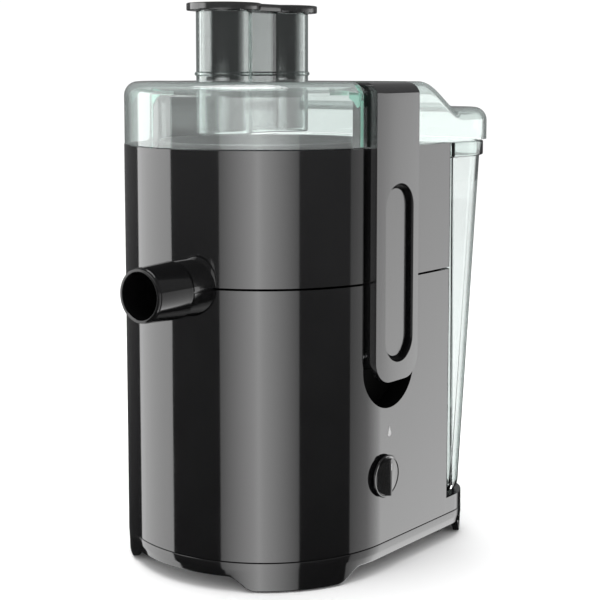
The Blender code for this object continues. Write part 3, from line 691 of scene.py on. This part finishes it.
def lid_solid(name, inset, drop, fillet, low):
    """A dome that falls to the back, its upper edge rounded all along."""
    rings = [(inset, None)]
    steps = 10
    for i in range(steps + 1):
        angle = math.radians(90.0 * i / steps)
        rings.append((inset + fillet * (1.0 - math.cos(angle)), fillet * (math.sin(angle) - 1.0)))
    bm = bmesh.new()
    rows = []
    for extra, rise in rings:
        plan = lid_half(extra)
        plan += [(-x, y) for x, y in plan[:0:-1]]
        row = []
        for x, y in plan:
            z = low if rise is None else lid_height(y - AXIS_Y, drop) + rise
            row.append(bm.verts.new((x * MM, y * MM, z * MM)))
        rows.append(row)
    count = len(rows[0])
    for a, b in zip(rows, rows[1:]):
        for i in range(count):
            j = (i + 1) % count
            bm.faces.new((a[i], a[j], b[j], b[i]))
    for row in (rows[0], rows[-1]):
        bm.faces.new((row[0], row[1], row[-1]))
        for i in range(1, (count - 1) // 2):
            bm.faces.new((row[i], row[i + 1], row[-i - 1], row[-i]))
    return new_object(name, bm)


def side_box(side, inner, half, low, high):
    """A block over one latch channel, from the given X outwards."""
    outline = [(LATCH_Y - half, low), (LATCH_Y + half, low), (LATCH_Y + half, high), (LATCH_Y - half, high)]
    ends = sorted((side * inner, side * 100.0))
    return prism("cut", outline, ends[0], ends[1], "X")


def lid_channel(side):
    return side_box(side, CHANNEL_X, CHANNEL_HALF, 225.0, 330.0)


def hook_notch(side, spread=0.0):
    return side_box(side, 61.0 - spread, CHANNEL_HALF - 1.0 + spread, HOOK_LEDGE - spread, 330.0)


def make_lid():
    """Clear lid: dome, stepped-down rear, latch channels, hook notches and the feed chute."""
    lid = lid_solid("lid_dome", 0.3, 0.0, 8.0, LID_LOW)
    cavity = lid_solid("cut", 0.3 + LID_WALL, LID_WALL, 5.4, LID_LOW - 5.0)
    combine(cavity, [hook_notch(side, LID_WALL) for side in (-1, 1)], "DIFFERENCE")
    cuts = [cavity] + [cut(side) for side in (-1, 1) for cut in (lid_channel, hook_notch)]
    combine(lid, cuts, "DIFFERENCE")
    layers = [
        (CHUTE_INSET + 0.8, CHUTE_LOW), (CHUTE_INSET, CHUTE_LOW + 0.8), (CHUTE_INSET, CHUTE_BEAD - 1.2),
        (CHUTE_INSET - 0.7, CHUTE_BEAD - 0.8), (CHUTE_INSET - 0.9, CHUTE_BEAD),
        (CHUTE_INSET - 0.7, CHUTE_BEAD + 0.8), (CHUTE_INSET, CHUTE_BEAD + 1.2),
        (CHUTE_INSET, CHUTE_TOP - 0.5), (CHUTE_INSET + 0.4, CHUTE_TOP),
    ]
    chute = loft("chute", [[(x, y, z) for x, y in bean(inset)] for inset, z in layers])
    combine(lid, [chute], "UNION")
    hole = prism("cut", bean(CHUTE_INSET + CHUTE_WALL), CHUTE_LOW - 5.0, CHUTE_TOP + 5.0)
    combine(lid, [hole], "DIFFERENCE")
    dress(shaded(lid), "clear_plastic", "root", "clear_lid", material=CLEAR_LID)
    lid.visible_shadow = False
    return lid


def make_lid_edge_glow():
    """Painted glow: opaque green strips on the lid's cut edges in front of both latch arms, standing in for
    the light that leaves the wall there.
    """
    front = LATCH_Y - CHANNEL_HALF
    outer = math.sqrt((BODY_R - 0.5) ** 2 - (front - AXIS_Y) ** 2)
    inner = outer - 2.0
    edge = [(inner, front - 1.0), (outer, front - 1.0), (outer, front - 0.1), (inner, front - 0.1)]
    for side, label in ((1, "right"), (-1, "left")):
        strip = prism(f"lid_edge_{label}", [(side * x, y) for x, y in edge], LID_LOW + 0.4, 266.0)
        dress(shaded(strip), "clear_plastic", "root", material=PAINTED_EDGE_GLOW)
        corner = [(side * 71.0, 270.6), (side * 79.0, 269.4), (side * 78.6, 263.5), (side * 76.5, 262.0),
                  (side * 74.0, 265.5), (side * 71.5, 266.8)]
        web = prism(f"lid_web_{label}", corner, front - 1.6, front - 0.6, "Y")
        dress(shaded(web), "clear_plastic", "root", material=PAINTED_EDGE_GLOW)


def make_pusher():
    """Hollow pusher with a flange that rests on the chute."""
    side = CHUTE_INSET + CHUTE_WALL + 0.7
    top = PUSHER_TOP
    layers = [
        (side + 1.4, 248.0), (side + 0.4, 248.5), (side, 249.6), (side, PUSHER_FLANGE), (0.4, PUSHER_FLANGE),
        (0.05, PUSHER_FLANGE + 0.3), (0.0, PUSHER_FLANGE + 0.7), (0.0, top - 0.7), (0.1, top - 0.25),
        (0.6, top), (side + 1.2, top), (side + 1.9, top - 0.3), (side + 2.2, top - 1.2), (side + 2.2, 251.0),
    ]
    pusher = loft("pusher_shell", [[(x, y, z) for x, y in bean(inset)] for inset, z in layers])
    return dress(shaded(pusher), "pusher_grey", "pusher", "food_pusher")


def container_plan(inset, rear_reach):
    """Plan of the container with wide rear corners and tight front ones."""
    front = y_at(CONTAINER_FRONT) + inset
    rear = y_at(rear_reach) - inset
    half = CONTAINER_HALF - inset
    bend = CONTAINER_CORNER - inset
    small = max(5.0 - inset, 1.5)
    points = arc(half - bend, rear - bend, bend, 0.0, 90.0, 24)
    points += arc(bend - half, rear - bend, bend, 90.0, 180.0, 24)
    points += arc(small - half, front + small, small, 180.0, 270.0, 8)
    points += arc(half - small, front + small, small, 270.0, 360.0, 8)
    return points


def make_container():
    """Clear container: leans back as it rises, with a thick band at the rim."""
    band = CONTAINER_BAND
    foot = CONTAINER_FOOT
    high = CONTAINER_REAR - 1.5
    layers = [
        (4.0, foot, CONTAINER_LOW), (1.6, foot, CONTAINER_LOW + 0.5), (0.4, foot, CONTAINER_LOW + 1.8),
        (0.0, foot + 0.4, CONTAINER_LOW + 4.0), (1.5, high, band - 0.4), (0.3, CONTAINER_REAR, band + 0.3),
        (0.0, CONTAINER_REAR, band + 0.9), (0.0, CONTAINER_REAR, CONTAINER_TOP - 0.8),
        (0.3, CONTAINER_REAR, CONTAINER_TOP - 0.2), (0.9, CONTAINER_REAR, CONTAINER_TOP),
        (3.0, CONTAINER_REAR, CONTAINER_TOP), (3.6, CONTAINER_REAR, CONTAINER_TOP - 0.6),
        (3.7, high, band - 1.5), (2.4, foot + 0.4, CONTAINER_LOW + 5.2), (3.4, foot, CONTAINER_LOW + 3.2),
        (6.0, foot, CONTAINER_LOW + 2.4),
    ]
    rings = [[(x, y, z) for x, y in container_plan(inset, rear)] for inset, rear, z in layers]
    container = loft("container_shell", rings)
    dress(shaded(container), "clear_plastic", "container", "pulp_container")
    container.visible_shadow = False
    return container


# ---------------------------------------------------------------- latches and knob

def latch_profile():
    """Side view of a latch arm in X and Z: a boss on the pivot, a straight back and a hooked top."""
    bend = LATCH_BEND
    back = PIVOT_X - PIVOT_R
    lip = PIVOT_X + 5.5
    hook = HOOK_LEDGE + 0.5
    points = arc(PIVOT_X, PIVOT_Z, PIVOT_R, 180.0, 315.0, 30)
    points += [(lip, LATCH_LOW + 6.0), (lip, LATCH_LOW), (LATCH_OUT, LATCH_LOW)]
    points += arc(LATCH_OUT - bend, LATCH_TOP - bend, bend, 0.0, 90.0, 24)
    points += [(65.0, LATCH_TOP), (64.5, LATCH_TOP - 0.5), (64.5, hook + 0.5), (65.0, hook), (back, hook)]
    return points


def latch_face():
    """Front view of a latch arm: round lower corners, small upper ones."""
    half = LATCH_HALF
    bend = LATCH_CORNER
    points = arc(LATCH_Y + half - bend, LATCH_LOW + bend, bend, 270.0, 360.0, 24)
    points += arc(LATCH_Y + half - 2.0, LATCH_TOP - 2.0, 2.0, 0.0, 90.0, 8)
    points += arc(LATCH_Y - half + 2.0, LATCH_TOP - 2.0, 2.0, 90.0, 180.0, 8)
    return points + arc(LATCH_Y - half + bend, LATCH_LOW + bend, bend, 180.0, 270.0, 24)


def crowned_block(side):
    """A block whose outer face bulges a little along the middle of the arm."""
    radius = LATCH_CROWN_R
    swing = math.degrees(math.asin((LATCH_HALF + 1.0) / radius))
    points = [(side * x, y) for x, y in arc(LATCH_OUT - radius, LATCH_Y, radius, -swing, swing, 20)]
    ends = [(side * 50.0, points[-1][1]), (side * 50.0, points[0][1])]
    return prism("crown", points + ends, 90.0, 300.0)


def make_latch(side, label):
    """Latch arm with its slot and sunk pad, and the pin that it turns on."""
    body = f"latch_{label}"
    outline = [(side * x, z) for x, z in latch_profile()]
    arm = prism(f"latch_lever_{label}", outline, LATCH_Y - LATCH_HALF - 1.0, LATCH_Y + LATCH_HALF + 1.0, "Y")
    low, high = sorted((side * 50.0, side * 100.0))
    combine(arm, [prism("face", latch_face(), low, high, "X"), crowned_block(side)], "INTERSECT")
    rounded(arm, 1.2, 4, 40.0)
    low, high = sorted((side * (LATCH_OUT - SLOT_DEEP), side * 100.0))
    slot = prism("cut", stadium(SLOT_Y, SLOT_Z, SLOT_WIDE, SLOT_LONG), low, high, "X")
    combine(arm, [slot, pin_rod("cut", side, PIN_R + 0.3, 5.0)], "DIFFERENCE")
    rounded(arm, 0.35, 2, 60.0)
    dress(shaded(arm), "latch_black", body, f"latch_arm_{label}")
    low, high = sorted((side * (LATCH_OUT - SLOT_DEEP + 0.3), side * (LATCH_OUT - PAD_SUNK)))
    outline = stadium(SLOT_Y, SLOT_Z, SLOT_WIDE - 5.0, SLOT_LONG - 5.0)
    pad = prism(f"latch_inlay_{label}", outline, low, high, "X")
    rounded(pad, 0.5, 3)
    dress(shaded(pad), "latch_black", body, f"latch_pad_{label}")
    pin = pin_rod(f"latch_pivot_{label}", side, PIN_R, 0.0)
    dress(shaded(rounded(pin, 0.3, 2)), "steel_bright", "root", f"latch_pin_{label}")


def make_knob():
    """Dished disc on a short neck with a ramped grip, and the flat ring behind it on the side wall."""
    centre = (0.0, KNOB_Y, KNOB_Z)
    face = BODY_R
    ring = [(6.8, face + 0.05), (8.4, face + 0.05), (8.4, face + 0.3), (8.2, face + 0.45), (7.0, face + 0.45),
            (6.8, face + 0.3)]
    bezel = turned("bezel_ring", ring, centre, "X")
    dress(shaded(bezel), "knob_black", "root", "knob_bezel")
    profile = [
        (0.0, 74.0), (2.6, 74.0), (2.6, face - WALL - 1.0), (4.6, face - WALL - 0.8), (4.6, face + 0.4),
        (6.4, face + 0.4), (6.4, face + 0.8), (KNOB_R - 1.4, face + 0.8), (KNOB_R - 0.5, face + 1.0),
        (KNOB_R, face + 1.5), (KNOB_R - 0.1, face + 2.1), (KNOB_R - 0.5, face + 2.5),
        (KNOB_R - 1.0, face + 2.5), (KNOB_R - 1.5, face + 2.2), (KNOB_R - 2.0, face + 2.3),
        (KNOB_R - 6.0, face + 2.8), (0.0, face + 3.1),
    ]
    knob = turned("knob_body", profile, centre, "X")
    ramp = [(face + 1.4, KNOB_Y - 10.6), (face + 2.0, KNOB_Y - 10.6), (face + GRIP_RISE, KNOB_Y - 0.9),
            (face + GRIP_RISE, KNOB_Y + 0.6), (face + 2.6, KNOB_Y + 1.4), (face + 1.4, KNOB_Y + 1.4)]
    grip = prism("grip", ramp, KNOB_Z - 11.5, KNOB_Z + 11.5)
    combine(grip, [rod("cut", KNOB_R - 1.7, face, face + 7.0, centre, "X", 96)], "INTERSECT")
    rounded(grip, 0.4, 3)
    combine(knob, [grip], "UNION")
    dress(shaded(knob), "knob_black", "knob", "control_knob")
    line = stadium(KNOB_Y - 0.15, KNOB_Z + 6.0, 0.6, 4.0, 6)
    tick = prism("knob_tick", line, face + GRIP_RISE - 0.02, face + GRIP_RISE + 0.05, "X")
    dress(shaded(tick, weighted=False), "knob_black", "knob", material=MARK)


def make_mark():
    """A plain droplet printed on the side wall, in place of any badge."""
    outline = arc(LATCH_Y, MARK_Z, MARK_R, 160.0, 380.0, 24)
    outline.append((LATCH_Y, MARK_Z + 3.0 * MARK_R))
    drop = prism("droplet_print", outline, BODY_R + 0.01, BODY_R + 0.08, "X")
    dress(shaded(drop, weighted=False), "housing_black", "root", material=MARK)


# ---------------------------------------------------------------- inside

def make_strainer():
    """Spinning basket, simplified: hub, plain disc, smooth cone and rim."""
    axis = (0.0, AXIS_Y, 0.0)
    hub = [
        (0.0, 181.5), (8.2, 181.5), (8.2, 177.6), (11.0, 177.6), (13.0, 186.0), (46.0, 186.0), (46.0, 189.0),
        (8.0, 189.0), (8.0, 191.0), (0.0, 191.0),
    ]
    dress(shaded(turned("basket_hub", hub, axis)), "inner_plastic", "rotor", "strainer_hub")
    cone = [(44.0, 189.4), (45.0, 189.4), (59.0, 232.0), (58.0, 232.0)]
    dress(shaded(turned("basket_mesh", cone, axis)), "steel_bright", "rotor", "strainer_mesh")
    rim = [(56.6, 232.4), (60.4, 232.4), (62.2, 239.0), (62.6, 240.2), (62.6, 242.0), (62.2, 242.4),
           (61.2, 242.4), (60.6, 242.0), (58.8, 236.0)]
    dress(shaded(turned("basket_rim", rim, axis)), "inner_plastic", "rotor", "strainer_rim")
    plate = [(8.6, 189.4), (40.0, 189.4), (40.0, 190.6), (8.6, 190.6)]
    disc = turned("grater_plate", plate, axis)
    dress(shaded(disc), "steel_bright", "rotor", "grating_disc")


def dress_cad_nodes():
    """Better materials on the CAD nodes that stay."""
    slots = {part["node"]: part["material_slot"] for part in frame["record"]["subparts"]}
    for name, node in frame["nodes"].items():
        node.data.materials.clear()
        node.data.materials.append(MATERIALS[slots[name]])


# ---------------------------------------------------------------- stage, light and camera

# Places in metres, angles in degrees, the lens in millimetres
CAMERA_PLACE = (0.5202, -0.6281, 0.2823)
CAMERA_AZIMUTH = 38.47
CAMERA_PITCH = 6.06
CAMERA_LENS = 83.65
CAMERA_SHIFT = -0.1365
FLOOR_HALF = 2.3
LAMP_PLACE = (-0.2, -0.3, 2.2)
LAMP_AIM = (0.0, 0.0, 0.2)


def emissive(name, stops, strength_low, strength_high):
    """Light that varies across a panel (stops of place and brightness) and fades with height."""
    made = bpy.data.materials.new(name)
    made.use_nodes = True
    tree = made.node_tree
    tree.nodes.remove(tree.nodes["Principled BSDF"])
    light = tree.nodes.new("ShaderNodeEmission")
    coords = tree.nodes.new("ShaderNodeUVMap")
    split = tree.nodes.new("ShaderNodeSeparateXYZ")
    ramp = tree.nodes.new("ShaderNodeValToRGB")
    height = tree.nodes.new("ShaderNodeMapRange")
    height.inputs["To Min"].default_value = strength_low
    height.inputs["To Max"].default_value = strength_high
    tree.links.new(coords.outputs["UV"], split.inputs["Vector"])
    tree.links.new(split.outputs["X"], ramp.inputs["Fac"])
    tree.links.new(split.outputs["Y"], height.inputs["Value"])
    elements = ramp.color_ramp.elements
    while len(elements) < len(stops):
        elements.new(0.5)
    for element, (place, value) in zip(elements, stops):
        element.position = place
        element.color = (value, value, value, 1.0)
    tree.links.new(ramp.outputs["Color"], light.inputs["Color"])
    tree.links.new(height.outputs["Result"], light.inputs["Strength"])
    tree.links.new(light.outputs["Emission"], tree.nodes["Material Output"].inputs["Surface"])
    return made


def light_panel(name, start, stop, stops, low, high, radius=2.4, bottom=-3.0, top=0.45):
    """A curved upright softbox round the object between two azimuths."""
    bm = bmesh.new()
    layer = bm.loops.layers.uv.new("UVMap")
    steps = 16
    columns = []
    for i in range(steps + 1):
        angle = math.radians(start + (stop - start) * i / steps)
        x = radius * math.sin(angle)
        y = AXIS_Y * MM - radius * math.cos(angle)
        columns.append((bm.verts.new((x, y, bottom)), bm.verts.new((x, y, top)), i / steps))
    for (a, b, u), (c, d, v) in zip(columns, columns[1:]):
        face = bm.faces.new((a, b, d, c))
        for loop, uv in zip(face.loops, ((u, 0.0), (u, 1.0), (v, 1.0), (v, 0.0))):
            loop[layer].uv = uv
    mesh = bpy.data.meshes.new(name)
    bm.to_mesh(mesh)
    bm.free()
    panel = bpy.data.objects.new(name, mesh)
    bpy.context.scene.collection.objects.link(panel)
    mesh.materials.append(emissive(name, stops, low, high))
    panel.visible_camera = False
    return panel


def make_floor():
    """Plain pale floor."""
    bm = bmesh.new()
    bmesh.ops.create_grid(bm, x_segments=8, y_segments=8, size=FLOOR_HALF)
    mesh = bpy.data.meshes.new("floor")
    bm.to_mesh(mesh)
    bm.free()
    floor = bpy.data.objects.new("floor", mesh)
    bpy.context.scene.collection.objects.link(floor)
    made, tree, shader = shader_tree("floor")
    tone = noise_field(tree, 2.0)
    tree.links.new(two_tone(tree, tone, (0.94, 0.94, 0.94), (0.95, 0.95, 0.95)), shader.inputs["Base Color"])
    shader.inputs["Roughness"].default_value = 0.9
    shader.inputs["Specular IOR Level"].default_value = 0.1
    mesh.materials.append(made)
    floor.visible_glossy = False


def make_world():
    """White surroundings for the camera and through clear walls, dim ones for reflections."""
    world = bpy.data.worlds.new("studio")
    bpy.context.scene.world = world
    world.use_nodes = True
    tree = world.node_tree
    white = tree.nodes["Background"]
    white.inputs["Color"].default_value = (1.0, 1.0, 1.0, 1.0)
    white.inputs["Strength"].default_value = 1.05
    through = tree.nodes.new("ShaderNodeBackground")
    through.inputs["Color"].default_value = (1.0, 1.0, 1.0, 1.0)
    through.inputs["Strength"].default_value = 0.97
    dim = tree.nodes.new("ShaderNodeBackground")
    dim.inputs["Strength"].default_value = 0.4
    path = tree.nodes.new("ShaderNodeLightPath")
    coords = tree.nodes.new("ShaderNodeTexCoord")
    split = tree.nodes.new("ShaderNodeSeparateXYZ")
    fade = tree.nodes.new("ShaderNodeValToRGB")
    spread = tree.nodes.new("ShaderNodeMapRange")
    spread.inputs["From Min"].default_value = -0.35
    spread.inputs["From Max"].default_value = 0.25
    fade.color_ramp.elements[0].color = (0.05, 0.05, 0.05, 1.0)
    fade.color_ramp.elements[1].color = (0.75, 0.75, 0.76, 1.0)
    tree.links.new(coords.outputs["Generated"], split.inputs["Vector"])
    tree.links.new(split.outputs["Z"], spread.inputs["Value"])
    tree.links.new(spread.outputs["Result"], fade.inputs["Fac"])
    tree.links.new(fade.outputs["Color"], dim.inputs["Color"])
    surface = white.outputs["Background"]
    for depth, other in (("Transmission Depth", through), ("Glossy Depth", dim)):
        bounced = tree.nodes.new("ShaderNodeMath")
        bounced.operation = "MINIMUM"
        bounced.inputs[1].default_value = 1.0
        tree.links.new(path.outputs[depth], bounced.inputs[0])
        mix = tree.nodes.new("ShaderNodeMixShader")
        tree.links.new(bounced.outputs["Value"], mix.inputs["Fac"])
        tree.links.new(surface, mix.inputs[1])
        tree.links.new(other.outputs["Background"], mix.inputs[2])
        surface = mix.outputs["Shader"]
    tree.links.new(surface, tree.nodes["World Output"].inputs["Surface"])


def make_lights():
    """Upright softboxes whose reflections give the body its light and dark bands."""
    light_panel("panel_left", -83.5, -40.5, [(0.0, 0.9), (1.0, 0.85)], 1.6, 3.4, top=0.9)
    light_panel("panel_front", 2.6, 64.5, [(0.0, 0.28), (0.42, 0.85), (0.49, 1.0), (0.56, 0.85), (1.0, 0.25)],
                2.8, 3.1, top=0.265)
    light_panel("panel_high", -40.0, -14.0, [(0.0, 0.9), (0.6, 1.0), (1.0, 0.3)], 3.0, 3.0,
                bottom=0.268, top=0.8)
    light_panel("panel_right", 108.0, 168.0, [(0.0, 0.16), (0.3, 0.3), (0.5, 0.6), (0.58, 0.78), (0.78, 0.78),
                                              (1.0, 0.2)], 5.6, 2.5)
    lamp = bpy.data.lights.new("top_softbox", "AREA")
    lamp.shape = "RECTANGLE"
    lamp.size = 1.6
    lamp.size_y = 1.2
    lamp.energy = 30.0
    top = bpy.data.objects.new("top_softbox", lamp)
    top.location = LAMP_PLACE
    direction = Vector(LAMP_AIM) - Vector(top.location)
    top.rotation_euler = direction.to_track_quat("-Z", "Y").to_euler()
    bpy.context.scene.collection.objects.link(top)


def make_camera():
    camera = bpy.data.cameras.new("camera")
    camera.lens = CAMERA_LENS
    camera.sensor_width = 36.0
    camera.shift_y = CAMERA_SHIFT
    camera.clip_start = 0.01
    view = bpy.data.objects.new("camera", camera)
    view.location = CAMERA_PLACE
    view.rotation_euler = (math.radians(90.0 - CAMERA_PITCH), 0.0, math.radians(CAMERA_AZIMUTH))
    bpy.context.scene.collection.objects.link(view)
    bpy.context.scene.camera = view


make_camera()
make_floor()
make_world()
make_lights()
dress_cad_nodes()
make_base()
make_feet()
make_housing()
make_collector()
make_nozzle()
make_lid()
make_lid_edge_glow()
make_pusher()
make_container()
make_latch(1, "right")
make_latch(-1, "left")
make_knob()
make_mark()
make_strainer()
bpy.context.scene.view_settings.view_transform = "Standard"
